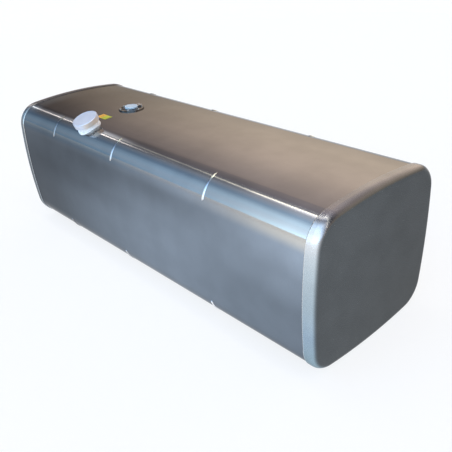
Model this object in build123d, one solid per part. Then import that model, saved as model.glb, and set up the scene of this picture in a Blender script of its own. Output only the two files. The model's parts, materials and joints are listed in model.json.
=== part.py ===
from build123d import *
import math
import os

# Aluminium truck fuel tank: a wrapped sheet shell, two pressed end heads, three
# baffles, a tilted filler neck with a bayonet cap, a level sender and a drain.
# Millimetres, +Z up. The origin is under the middle of the tank, on the surface it
# rests on. +X runs along the tank, away from the filler, and -Y is the filler side.

# Tank body
tank_length = 1940.0      # over both end heads
tank_width = 670.0        # over the skirts of the heads
tank_height = 620.0
side_crown = 22.0         # bulge of each side over the full height
top_crown = 28.0          # bulge of the top and the bottom over the full width
corner_radius = 110.0
sheet = 3.0               # wall of the shell, the heads and the baffles
lap_gap = 0.3             # between pieces that slide over each other

# End heads
head_depth = 45.0         # from the edge of the skirt to the flat face
knuckle_radius = 29.0
head_lap = 12.0           # how far the skirt laps over the shell

# Baffles
baffle_places = (-608.0, -126.0, 457.0)
baffle_rim = 28.0
baffle_bend = 12.0
flow_hole_radius = 70.0
flow_hole_pitch = 250.0   # between the two flow holes
flow_hole_lip = 8.0
vent_notch_radius = 45.0

# Weld beads
bead_width = 12.0
bead_height = 2.6
bead_low_angle = 15.0     # of a bead's two ends, from the level of its corner's centre
bead_high_angle = 74.0
weld_gap = 0.1            # between a bead and the sheet it lies on
seam_weld_leg = 5.0
seam_weld_toe = 1.0       # left of the skirt's edge and of the leg by the slope
neck_weld_leg = 5.0
pad_weld_leg = 1.5
long_seam_angle = -4.5    # of the lengthwise joint, below the level of the middle
long_bead_width = 9.0
long_bead_height = 1.6

# Filler neck
filler_x = -387.0
filler_edge = 85.5        # from the filler side to where the neck's axis meets the shell
filler_tilt = 20.0        # degrees from upright, towards the filler side
neck_radius = 47.5
neck_wall = 3.0
neck_inside = 30.0        # how far the neck reaches below the point on the shell
neck_mouth = 27.0         # height of the mouth above that point
mouth_radius = 51.5
collar_thickness = 3.0
collar_bore_radius = 37.5
lug_slot_radius = 43.5
lug_slot_angle = 44.0
lug_stop_angle = 8.0
lug_stop_depth = 6.0
lug_stop_gap = 1.0        # degrees left between a lug and its stop
cap_turn = 70.0           # degrees from the slots to the stops

# Filler cap
cap_radius = 57.0
cap_rise = 13.5           # of the cover's top above the mouth of the neck
cap_height = 23.0
cap_wall = 2.5
cap_edge = 3.0
cap_rim = 5.0             # width of the raised rim round the cover's top
cap_recess = 1.0          # of the top inside that rim
seal_thickness = 3.5
seal_bore_radius = 44.0
seal_plate_thickness = 1.5
spindle_radius = 8.0
rivet_radius = 5.0
rivet_head_radius = 9.0
rivet_head_height = 2.0
lug_plate_thickness = 3.0
lug_plate_radius = 35.5
lug_reach = 42.5
lug_angle = 36.0
spring_inner_radius = 12.0
spring_outer_radius = 30.0
spring_sheet = 0.8
spring_fingers = 6
spring_slot_width = 4.0
spring_rim = 5.0          # unslotted band at the inner edge

# Level sender
sender_x = -410.0
sender_y = -7.0
sender_hole_radius = 36.0
pad_radius = 58.0
pad_height = 0.5          # above the top of the shell
pad_thickness = 9.0
gasket_thickness = 1.0
head_flange_radius = 44.0
head_flange_thickness = 1.5
head_body_radius = 38.0
head_plug_gap = 1.0       # between the head's plug and the pad's bore
head_body_height = 1.8    # above the flange
clamp_ring_thickness = 1.5
screw_circle_radius = 49.5
screw_count = 6
first_screw = -51.0       # degrees from +X
screw_radius = 2.5
screw_head_radius = 4.2
screw_head_height = 2.2
screw_socket_radius = 1.6
screw_socket_depth = 1.2
screw_length = 11.0
lid_radius = 30.0
lid_height = 8.0
lid_edge = 2.0
nipple_radius = 3.0
nipple_seat_radius = 3.5
nipple_height = 4.0       # of the nipples' axes above the head
nipple_seat = 16.0        # how far the nipples reach into the lid
nipple_shoulder = 1.0     # how far the thicker seat stands out of the lid
nipple_reach = 53.0       # of the nipples' ends from the middle of the sender
nipple_spread = 16.0
suction_radius = 5.0
return_radius = 4.0
pipe_wall = 1.2
suction_x = -14.0         # places of the pipes under the head, from its centre
suction_y = 12.0
return_x = 12.0
return_y = 16.0
stem_x = 4.0
stem_y = -12.0
pipe_floor_gap = 22.0     # between the suction strainer and the bottom of the shell
return_length = 360.0
strainer_radius = 11.0
strainer_height = 34.0
strainer_slots = 8
strainer_slot_width = 2.0
strainer_slot_height = 26.0
stem_radius = 5.0
float_radius = 17.0
float_height = 40.0
float_edge = 3.0
stop_radius = 9.0
stop_height = 5.0

# Drain
drain_x = 165.0
boss_radius = 20.0
boss_height = 18.0
plug_radius = 10.0
plug_head_radius = 14.0
plug_head_height = 4.0
plug_length = 12.0
washer_thickness = 1.5
plug_recess = 1.0         # of the plug's head inside the boss's face
counterbore_radius = 15.0
socket_size = 8.0         # across the flats
socket_depth = 7.0

# Blank patch beside the filler
patch_x = -415.0
patch_edge = 184.0        # from the filler side to the middle of the patch
patch_length = 72.0
patch_width = 38.0
patch_thickness = 0.4

mid_height = tank_height / 2
half_length = tank_length / 2
seam_x = half_length - head_depth
shell_inset = sheet + lap_gap
shell_end = seam_x + head_lap
inner_inset = shell_inset + sheet
filler_y = filler_edge - tank_width / 2
patch_y = patch_edge - tank_width / 2


def crown_radius(span, crown):
    """Radius of the arc that bulges by crown over span."""
    return (span ** 2 / 4 + crown ** 2) / (2 * crown)


side_radius = crown_radius(tank_height, side_crown)
top_radius = crown_radius(tank_width, top_crown)
side_centre = tank_width / 2 - side_radius
top_centre = mid_height - top_radius


def corner_centre():
    """Centre of the corner arc that runs into both the side arc and the top arc."""
    from_side = side_radius - corner_radius
    from_top = top_radius - corner_radius
    apart = math.hypot(side_centre, top_centre)
    along = (from_side ** 2 - from_top ** 2 + apart ** 2) / (2 * apart)
    across = math.sqrt(from_side ** 2 - along ** 2)
    y = side_centre + (-along * side_centre - across * top_centre) / apart
    z = (along * top_centre - across * side_centre) / apart
    return y, z


corner_y, corner_z = corner_centre()
corner_start = math.degrees(math.atan2(corner_z, corner_y - side_centre))
corner_end = math.degrees(math.atan2(corner_z - top_centre, corner_y))


def corner_point(inset, angle):
    """Point of the corner arc at an angle from +Y, for an outline inset from the envelope."""
    reach = corner_radius - inset
    y = corner_y + reach * math.cos(math.radians(angle))
    z = corner_z + reach * math.sin(math.radians(angle))
    return y, z


def section_face(inset):
    """The tank's crowned cross-section, every side inset from the envelope."""
    side_y, side_z = corner_point(inset, corner_start)
    mid_y, mid_z = corner_point(inset, (corner_start + corner_end) / 2)
    top_y, top_z = corner_point(inset, corner_end)
    arcs = []
    for up in (1, -1):
        arcs.append(ThreePointArc((-top_y, up * top_z), (0, up * (mid_height - inset)), (top_y, up * top_z)))
        for out in (1, -1):
            arcs.append(ThreePointArc((out * side_y, up * side_z), (out * mid_y, up * mid_z),
                                      (out * top_y, up * top_z)))
    for out in (1, -1):
        arcs.append(ThreePointArc((out * side_y, -side_z), (out * (tank_width / 2 - inset), 0),
                                  (out * side_y, side_z)))
    return make_face(Curve() + arcs)


def section_block(inset, x_start, x_end):
    """Solid of the cross-section between two places along the tank."""
    plane = Plane(origin=(x_start, 0, mid_height), x_dir=(0, 1, 0), z_dir=(1, 0, 0))
    return extrude(plane * section_face(inset), amount=x_end - x_start)


def shell_top(y):
    """Height of the shell's outer surface at a distance from the middle line."""
    if abs(y) <= corner_point(shell_inset, corner_end)[0]:
        return mid_height + top_centre + math.sqrt((top_radius - shell_inset) ** 2 - y ** 2)
    reach = corner_radius - shell_inset
    return mid_height + corner_z + math.sqrt(reach ** 2 - (abs(y) - corner_y) ** 2)


def upright(radius, low, high):
    """Cylinder about the Z axis between two heights."""
    return Pos(0, 0, low) * extrude(Circle(radius), amount=high - low)


def washer(outer, inner, low, high):
    """Ring about the Z axis between two heights."""
    return Pos(0, 0, low) * extrude(Circle(outer) - Circle(inner), amount=high - low)


def sector(outer, inner, centre_angle, width_angle, low, high):
    """Part of a ring about the Z axis, seen under width_angle about centre_angle."""
    half = math.radians(width_angle / 2)
    far = outer / math.cos(half) * 1.05
    wedge = make_face(Polyline((0, 0), (far * math.cos(half), -far * math.sin(half)),
                               (far * math.cos(half), far * math.sin(half)), close=True))
    ring = (Circle(outer) - Circle(inner)) & wedge
    return Pos(0, 0, low) * Rot(0, 0, centre_angle) * extrude(ring, amount=high - low)


filler_frame = Location((filler_x, filler_y, shell_top(filler_y)), (filler_tilt, 0, 0))
sender_frame = Location((sender_x, sender_y, 0))
drain_frame = Location((drain_x, 0, 0))

pad_top = tank_height - shell_inset + pad_height
gasket_top = pad_top + gasket_thickness
flange_top = gasket_top + head_flange_thickness
clamp_top = flange_top + clamp_ring_thickness
head_top = flange_top + head_body_height
shell_floor = inner_inset
strainer_bottom = shell_floor + pipe_floor_gap
stem_bottom = strainer_bottom
float_bottom = stem_bottom + stop_height + lap_gap


def shell():
    """The wrapped sheet, open at both ends, with its filler, sender and drain holes."""
    tube = section_block(shell_inset, -shell_end, shell_end)
    tube -= section_block(inner_inset, -shell_end, shell_end)
    tube -= filler_frame * upright(neck_radius + lap_gap, -neck_inside, neck_mouth)
    tube -= sender_frame * upright(pad_radius + lap_gap, mid_height, tank_height)
    tube -= drain_frame * upright(boss_radius + lap_gap, 0, mid_height)
    return tube


def pressed_dish(inset, depth, bend):
    """A dished sheet that opens towards -X, its flat face at x = 0."""
    outside = section_block(inset, -depth, 0)
    outside = fillet(outside.faces().sort_by(Axis.X)[-1].edges(), bend)
    inside = section_block(inset + sheet, -depth, -sheet)
    inside = fillet(inside.faces().sort_by(Axis.X)[-1].edges(), bend - sheet)
    return outside - inside


def end_head():
    """Pressed head of the +X end, its skirt lapping over the shell."""
    return Pos(half_length, 0, 0) * pressed_dish(0, head_depth, knuckle_radius)


def baffle(place):
    """Pressed surge plate with lipped flow holes, its rim centred on the weld beads."""
    face_x = place + baffle_rim / 2
    plate = Pos(face_x, 0, 0) * pressed_dish(inner_inset + lap_gap, baffle_rim, baffle_bend)
    for out in (1, -1):
        hole_y = out * flow_hole_pitch / 2
        across = Plane(origin=(face_x, hole_y, mid_height), x_dir=(0, 1, 0), z_dir=(-1, 0, 0))
        plate += across * extrude(Circle(flow_hole_radius + sheet), amount=flow_hole_lip)
        plate -= across * extrude(Circle(flow_hole_radius), amount=flow_hole_lip)
    for up in (1, -1):
        notch_z = mid_height + up * (mid_height - inner_inset)
        notch = Plane(origin=(face_x, 0, notch_z), x_dir=(0, 1, 0), z_dir=(-1, 0, 0))
        plate -= notch * extrude(Circle(vent_notch_radius), amount=baffle_rim)
    return plate


def seam_weld():
    """Fillet weld between the skirt of the +X head and the shell, all the way round."""
    bead = section_block(0, seam_x - seam_weld_leg, seam_x)
    slope = (seam_weld_leg - seam_weld_toe, sheet - seam_weld_toe / 2)
    bead = chamfer(bead.faces().sort_by(Axis.X)[0].edges(), *slope)
    return bead - section_block(shell_inset - weld_gap, seam_x - seam_weld_leg, seam_x)


def bead_profile(width, height, reach):
    """Low arched section of a weld bead lying on a surface at a distance from the X axis."""
    foot = Line((-width / 2, reach), (width / 2, reach))
    crown = ThreePointArc((-width / 2, reach), (0, reach + height), (width / 2, reach))
    return make_face(Curve() + [foot, crown])


def bead_crater(reach, way):
    """Rounded end of an arched bead, as high and as wide as its section, past the XY plane."""
    crater_radius = crown_radius(bead_width, bead_height)
    crater = Pos(0, reach + bead_height - crater_radius, 0) * Sphere(crater_radius)
    crater -= Plane.YZ.offset(-bead_width) * extrude(Circle(reach), amount=2 * bead_width)
    past = Pos(0, reach, way * bead_width) * Box(2 * bead_width, 4 * bead_height, 2 * bead_width)
    return crater & past


def baffle_welds():
    """Raised beads over the four corners of the shell, where each baffle is welded in."""
    reach = corner_radius - shell_inset + weld_gap
    profile = bead_profile(bead_width, bead_height, reach)
    bead = revolve(profile, Axis.X, revolution_arc=bead_high_angle - bead_low_angle)
    bead += Rot(bead_high_angle - bead_low_angle, 0, 0) * bead_crater(reach, 1)
    bead += bead_crater(reach, -1)
    bead = Pos(0, corner_y, mid_height + corner_z) * Rot(bead_low_angle, 0, 0) * bead
    bead = Part() + bead + mirror(bead, about=Plane.XZ)
    bead += mirror(bead, about=Plane.XY.offset(mid_height))
    return Part(children=[Pos(place, 0, 0) * solid for place in baffle_places for solid in bead.solids()])


def long_seam_weld():
    """Straight bead along the back, where the two edges of the wrapped sheet meet."""
    length = 2 * (seam_x - seam_weld_leg)
    profile = Plane.YZ * Rot(0, 0, -90) * bead_profile(long_bead_width, long_bead_height,
                                                       side_radius - shell_inset + weld_gap)
    bead = Pos(-length / 2, 0, 0) * extrude(profile, amount=length)
    return Pos(0, side_centre, mid_height) * Rot(long_seam_angle, 0, 0) * bead


def filler_neck():
    """Welded-in neck: a tube, a mouth flange and an inner collar with two lug slots."""
    collar_low = neck_mouth - collar_thickness
    neck = washer(neck_radius, neck_radius - neck_wall, -neck_inside, neck_mouth)
    neck += washer(mouth_radius, collar_bore_radius, collar_low, neck_mouth)
    for slot_angle in (0, 180):
        neck -= sector(lug_slot_radius, collar_bore_radius / 2, slot_angle, lug_slot_angle, collar_low, neck_mouth)
        stop_angle = slot_angle - cap_turn - lug_stop_gap - (lug_angle + lug_stop_angle) / 2
        stop = sector(neck_radius - neck_wall / 2, collar_bore_radius, stop_angle, lug_stop_angle,
                      collar_low - lug_stop_depth, collar_low)
        neck += stop
    return filler_frame * neck


def foot_weld(frame, radius, leg, reach):
    """Bead round a fitting on the shell, following the curve of the shell."""
    x = frame.position.X
    ring = frame * washer(radius + leg, radius + weld_gap, -reach, reach)
    above = section_block(shell_inset - leg, x - 2 * radius, x + 2 * radius)
    return ring & (above - section_block(shell_inset - weld_gap, x - 2 * radius, x + 2 * radius))


def filler_weld():
    """Fillet bead round the foot of the neck."""
    return foot_weld(filler_frame, neck_radius, neck_weld_leg, neck_inside)


def sender_weld():
    """Flat bead round the sender's pad."""
    top_frame = Location((sender_x, sender_y, tank_height - shell_inset))
    return foot_weld(top_frame, pad_radius, pad_weld_leg, pad_thickness)


seal_top = neck_mouth + seal_thickness
plate_top = seal_top + seal_plate_thickness
cap_top = neck_mouth + cap_rise
cover_inside = cap_top - cap_wall
lug_top = neck_mouth - collar_thickness - lap_gap
lug_bottom = lug_top - lug_plate_thickness


def cap_cover():
    """Pressed outer cover, a deep cup with a rolled edge and a raised rim round its top."""
    cover = upright(cap_radius, cap_top - cap_height, cap_top)
    cover = fillet(cover.faces().sort_by(Axis.Z)[-1].edges(), cap_edge)
    cover -= upright(cap_radius - cap_wall, cap_top - cap_height, cover_inside)
    cover -= upright(cap_radius - cap_rim, cap_top - cap_recess, cap_top)
    return filler_frame * cover


def cap_spindle():
    """Shouldered rivet that ties the lug plate to the cover."""
    shoulder = upright(spindle_radius, lug_top, cover_inside)
    shank = upright(rivet_radius, lug_bottom, lug_top)
    head = upright(rivet_head_radius, lug_bottom - rivet_head_height, lug_bottom)
    head = fillet(head.faces().sort_by(Axis.Z)[0].edges(), rivet_head_height / 2)
    return filler_frame * (shoulder + shank + head)


def cap_lug_plate():
    """Round plate with two lugs that catch under the collar when the cap is turned."""
    plate = upright(lug_plate_radius, lug_bottom, lug_top)
    for lug_place in (0, 180):
        plate += sector(lug_reach, spindle_radius, lug_place, lug_angle, lug_bottom, lug_top)
    return filler_frame * (plate - upright(rivet_radius, lug_bottom, lug_top))


def cap_seal():
    """Flat rubber ring on the mouth of the neck."""
    return filler_frame * washer(mouth_radius, seal_bore_radius, neck_mouth, seal_top)


def cap_seal_plate():
    """Disc over the seal, free to stay still while the cap turns."""
    return filler_frame * washer(mouth_radius, spindle_radius + lap_gap, seal_top, plate_top)


def cap_spring():
    """Dished finger spring between the cover and the seal plate."""
    low = plate_top + lap_gap
    high = cover_inside
    cone = make_face(Polyline((spring_inner_radius, high - spring_sheet), (spring_inner_radius, high),
                              (spring_outer_radius, low + spring_sheet), (spring_outer_radius, low),
                              close=True))
    spring = revolve(Plane.XZ * cone, Axis.Z)
    slot_length = spring_outer_radius - spring_inner_radius
    for finger in range(spring_fingers):
        slot_x = spring_inner_radius + spring_rim + slot_length / 2
        slot = Pos(slot_x, 0, low) * Box(slot_length, spring_slot_width, 4 * (high - low))
        spring -= Rot(0, 0, finger * 360 / spring_fingers) * slot
    return filler_frame * spring


def sender_pad():
    """Machined ring let into the top of the shell, with the blind screw holes."""
    ring = sender_frame * washer(pad_radius, sender_hole_radius, pad_top - pad_thickness, pad_top)
    for place in screw_places():
        ring -= place * upright(screw_radius, clamp_top - screw_length, pad_top)
    return ring


def screw_places():
    """Frames of the sender's screws, evenly round their circle."""
    step = 360 / screw_count
    return [sender_frame * Rot(0, 0, first_screw + step * turn) * Pos(screw_circle_radius, 0, 0)
            for turn in range(screw_count)]


def sender_gasket():
    """Flat ring between the pad and the sender's flange."""
    gasket = sender_frame * washer(pad_radius, sender_hole_radius, pad_top, gasket_top)
    for place in screw_places():
        gasket -= place * upright(screw_radius + lap_gap, pad_top, gasket_top)
    return gasket


def clamp_ring():
    """Stepped ring that holds the sender's flange down on the gasket."""
    ring = washer(pad_radius, head_body_radius + lap_gap, gasket_top, clamp_top)
    ring -= upright(head_flange_radius + lap_gap, gasket_top, flange_top)
    ring = sender_frame * ring
    for place in screw_places():
        ring -= place * upright(screw_radius + lap_gap, gasket_top, clamp_top)
    return ring


def sender_screws():
    """Socket-head screws through the clamp ring and the gasket into the pad."""
    shank = upright(screw_radius, clamp_top - screw_length, clamp_top)
    head = upright(screw_head_radius, clamp_top, clamp_top + screw_head_height)
    socket_low = clamp_top + screw_head_height - screw_socket_depth
    socket = Pos(0, 0, socket_low) * extrude(RegularPolygon(screw_socket_radius, 6), amount=screw_socket_depth)
    screw = shank + head - socket
    return Part(children=[place * screw for place in screw_places()])


def pipe_seats():
    """Place and outer radius of the two pipes and the stem, from the sender's centre."""
    return ((suction_x, suction_y, suction_radius), (return_x, return_y, return_radius),
            (stem_x, stem_y, stem_radius))


def sender_head():
    """Dark moulded head: its flange, its round body and the seats of the pipes."""
    head = upright(sender_hole_radius - head_plug_gap, pad_top - pad_thickness, gasket_top)
    head += upright(head_flange_radius, gasket_top, flange_top)
    head += upright(head_body_radius, flange_top, head_top)
    for x, y, radius in pipe_seats():
        head -= Pos(x, y, 0) * upright(radius, mid_height, gasket_top)
    return sender_frame * head


def nipple_rod(side, radius, start, end):
    """Level cylinder on the axis of one nipple, which points to the back."""
    centre = (side * nipple_spread / 2, start, head_top + nipple_height)
    plane = Plane(origin=centre, x_dir=(1, 0, 0), z_dir=(0, 1, 0))
    return sender_frame * (plane * extrude(Circle(radius), amount=end - start))


nipple_start = lid_radius - nipple_seat
shoulder_end = lid_radius + nipple_shoulder


def sender_lid():
    """Pale round lid over the sender's electrics, with the seats of the nipples."""
    lid = upright(lid_radius, head_top, head_top + lid_height)
    lid = sender_frame * fillet(lid.faces().sort_by(Axis.Z)[-1].edges(), lid_edge)
    for side in (-1, 1):
        lid -= nipple_rod(side, nipple_seat_radius, nipple_start, shoulder_end)
    return lid


def nipple(side):
    """Straight hose nipple with a thicker seat, leaving the lid sideways to the back."""
    tube = nipple_rod(side, nipple_seat_radius, nipple_start, shoulder_end)
    tube += nipple_rod(side, nipple_radius, shoulder_end, nipple_reach)
    return tube - nipple_rod(side, nipple_radius - pipe_wall, nipple_start, nipple_reach)


def dip_pipe(x, y, radius, bottom):
    """Pipe that hangs from the head down into the tank."""
    return sender_frame * Pos(x, y, 0) * washer(radius, radius - pipe_wall, bottom, gasket_top)


def suction_strainer():
    """Slotted cup on the foot of the suction pipe."""
    low = strainer_bottom
    cup = washer(strainer_radius, suction_radius, low, low + strainer_height)
    cup -= washer(strainer_radius - pipe_wall, suction_radius, low + pipe_wall,
                  low + strainer_height - pipe_wall)
    cup += upright(strainer_radius, low, low + pipe_wall)
    for turn in range(strainer_slots):
        slot = Box(4 * pipe_wall, strainer_slot_width, strainer_slot_height)
        slot = Rot(0, 0, turn * 360 / strainer_slots) * Pos(strainer_radius, 0, 0) * slot
        cup -= Pos(0, 0, low + strainer_height / 2) * slot
    return sender_frame * Pos(suction_x, suction_y, 0) * cup


def level_stem():
    """Straight rod that carries the float."""
    return sender_frame * Pos(stem_x, stem_y, 0) * upright(stem_radius, stem_bottom, gasket_top)


def level_float():
    """Ring float on the stem, resting on its stop when the tank is empty."""
    ring = washer(float_radius, stem_radius + 2 * lap_gap, float_bottom, float_bottom + float_height)
    rims = ring.faces().sort_by(Axis.Z)[-1].edges() + ring.faces().sort_by(Axis.Z)[0].edges()
    ring = fillet([edge for edge in rims if edge.radius > stem_radius * 2], float_edge)
    return sender_frame * Pos(stem_x, stem_y, 0) * ring


def float_stop():
    """Collar clipped on the foot of the stem."""
    low = stem_bottom
    return sender_frame * Pos(stem_x, stem_y, 0) * washer(stop_radius, stem_radius, low, low + stop_height)


def drain_boss():
    """Bush welded into the bottom, flush outside, with a counterbore for the plug."""
    boss = upright(boss_radius, shell_inset, shell_inset + boss_height)
    boss -= upright(plug_radius, shell_inset, shell_inset + boss_height)
    boss -= upright(counterbore_radius, shell_inset, plug_seat)
    return drain_frame * boss


plug_seat = shell_inset + plug_recess + plug_head_height + washer_thickness


def drain_washer():
    """Copper ring under the head of the plug."""
    return drain_frame * washer(plug_head_radius, plug_radius, plug_seat - washer_thickness, plug_seat)


def drain_plug():
    """Flush plug with a hexagon socket, screwed up into the boss."""
    low = plug_seat - washer_thickness - plug_head_height
    plug = upright(plug_head_radius, low, low + plug_head_height)
    plug += upright(plug_radius, low + plug_head_height, low + plug_head_height + plug_length)
    plug -= Pos(0, 0, low) * extrude(RegularPolygon(socket_size / 2, 6, major_radius=False),
                                     amount=socket_depth)
    return drain_frame * plug


def blank_patch():
    """Thin blank foil laid on the crowned top beside the filler."""
    span = patch_length / 2
    foil = section_block(shell_inset - patch_thickness, patch_x - span, patch_x + span)
    foil -= section_block(shell_inset, patch_x - span, patch_x + span)
    window = Pos(patch_x, patch_y, tank_height) * Box(patch_length, patch_width, tank_height / 2)
    return foil & window


def other_end(piece):
    """The same piece turned round for the -X end."""
    return mirror(piece, about=Plane.YZ)


parts = {
    "shell": shell(),
    "end_head_near": end_head(),
    "end_head_far": other_end(end_head()),
    "seam_weld_near": seam_weld(),
    "seam_weld_far": other_end(seam_weld()),
    "long_seam_weld": long_seam_weld(),
    "baffle_welds": baffle_welds(),
    "filler_neck": filler_neck(),
    "filler_weld": filler_weld(),
    "cap_cover": cap_cover(),
    "cap_spindle": cap_spindle(),
    "cap_lug_plate": cap_lug_plate(),
    "cap_spring": cap_spring(),
    "cap_seal": cap_seal(),
    "cap_seal_plate": cap_seal_plate(),
    "sender_pad": sender_pad(),
    "sender_weld": sender_weld(),
    "sender_gasket": sender_gasket(),
    "sender_clamp_ring": clamp_ring(),
    "sender_screws": sender_screws(),
    "sender_head": sender_head(),
    "sender_lid": sender_lid(),
    "suction_nipple": nipple(-1),
    "return_nipple": nipple(1),
    "suction_pipe": dip_pipe(suction_x, suction_y, suction_radius, strainer_bottom + strainer_height / 2),
    "suction_strainer": suction_strainer(),
    "return_pipe": dip_pipe(return_x, return_y, return_radius, gasket_top - return_length),
    "level_stem": level_stem(),
    "level_float": level_float(),
    "float_stop": float_stop(),
    "drain_boss": drain_boss(),
    "drain_washer": drain_washer(),
    "drain_plug": drain_plug(),
    "blank_patch": blank_patch(),
}
for number, place in enumerate(baffle_places, 1):
    parts["baffle_%d" % number] = baffle(place)

os.makedirs("parts", exist_ok=True)
for name, piece in parts.items():
    export_step(piece, "parts/%s.step" % name)
    box = piece.bounding_box()
    print(name, len(piece.solids()), round(piece.volume), box.min, box.max)
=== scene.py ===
"""Looks of an aluminium truck fuel tank: its finishes, modelled pieces, surroundings and camera."""
import json
import logging
import math
from dataclasses import dataclass
from enum import Enum, IntEnum
from typing import Callable, Union

import bpy
from mathutils import Euler, Matrix, Vector

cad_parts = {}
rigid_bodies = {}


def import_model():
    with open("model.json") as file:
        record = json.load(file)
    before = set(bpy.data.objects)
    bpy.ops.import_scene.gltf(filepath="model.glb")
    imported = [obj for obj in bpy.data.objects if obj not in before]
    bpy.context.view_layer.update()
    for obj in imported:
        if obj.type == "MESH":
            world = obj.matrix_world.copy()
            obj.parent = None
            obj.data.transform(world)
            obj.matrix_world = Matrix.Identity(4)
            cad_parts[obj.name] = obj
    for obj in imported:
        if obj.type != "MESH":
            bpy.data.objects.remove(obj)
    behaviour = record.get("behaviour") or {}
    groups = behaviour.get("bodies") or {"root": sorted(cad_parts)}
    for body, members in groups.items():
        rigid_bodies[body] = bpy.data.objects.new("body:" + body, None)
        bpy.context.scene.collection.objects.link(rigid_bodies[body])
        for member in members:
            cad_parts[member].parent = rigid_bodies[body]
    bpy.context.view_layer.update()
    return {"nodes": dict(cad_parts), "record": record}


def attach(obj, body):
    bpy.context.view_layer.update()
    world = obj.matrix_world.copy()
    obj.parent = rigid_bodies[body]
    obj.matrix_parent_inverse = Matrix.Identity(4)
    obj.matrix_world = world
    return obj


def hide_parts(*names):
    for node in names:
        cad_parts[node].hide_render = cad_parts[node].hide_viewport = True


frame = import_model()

LOG = logging.getLogger("tank")
MM = 0.001
# The places along the tank between which levels are looked up, in metres.
LOOKUP = (-1.0, 1.0)

Colour = tuple[float, float, float]
Triple = tuple[float, float, float]
Span = tuple[float, float]
Stops = tuple[tuple[float, float], ...]
ColourStops = tuple[tuple[float, Colour], ...]
Socket = bpy.types.NodeSocket
Value = Union[Socket, float, Colour]


class Body(str, Enum):
    """The rigid bodies that a piece can ride on."""

    TANK = "tank"
    CAP_SEAT = "cap_seat"
    CAP = "cap"
    FLOAT = "float"


class Blend(str, Enum):
    """How a Mix node joins its two colours."""

    MIX = "MIX"
    MULTIPLY = "MULTIPLY"
    ADD = "ADD"


class Side(IntEnum):
    """The side of the tank that a corner is on, as the sign of its Y."""

    FILLER = -1
    BACK = 1


class Level(IntEnum):
    """Whether a corner is at the bottom or the top, as the sign of its height over the middle."""

    BOTTOM = -1
    TOP = 1


@dataclass(frozen=True)
class Spot:
    """The point that a shader colours, by its object coordinates in metres.

    Attributes:
        x: along the tank, towards its near end.
        y: across the tank, towards its back.
        z: up from the floor.
    """

    x: Socket
    y: Socket
    z: Socket


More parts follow.
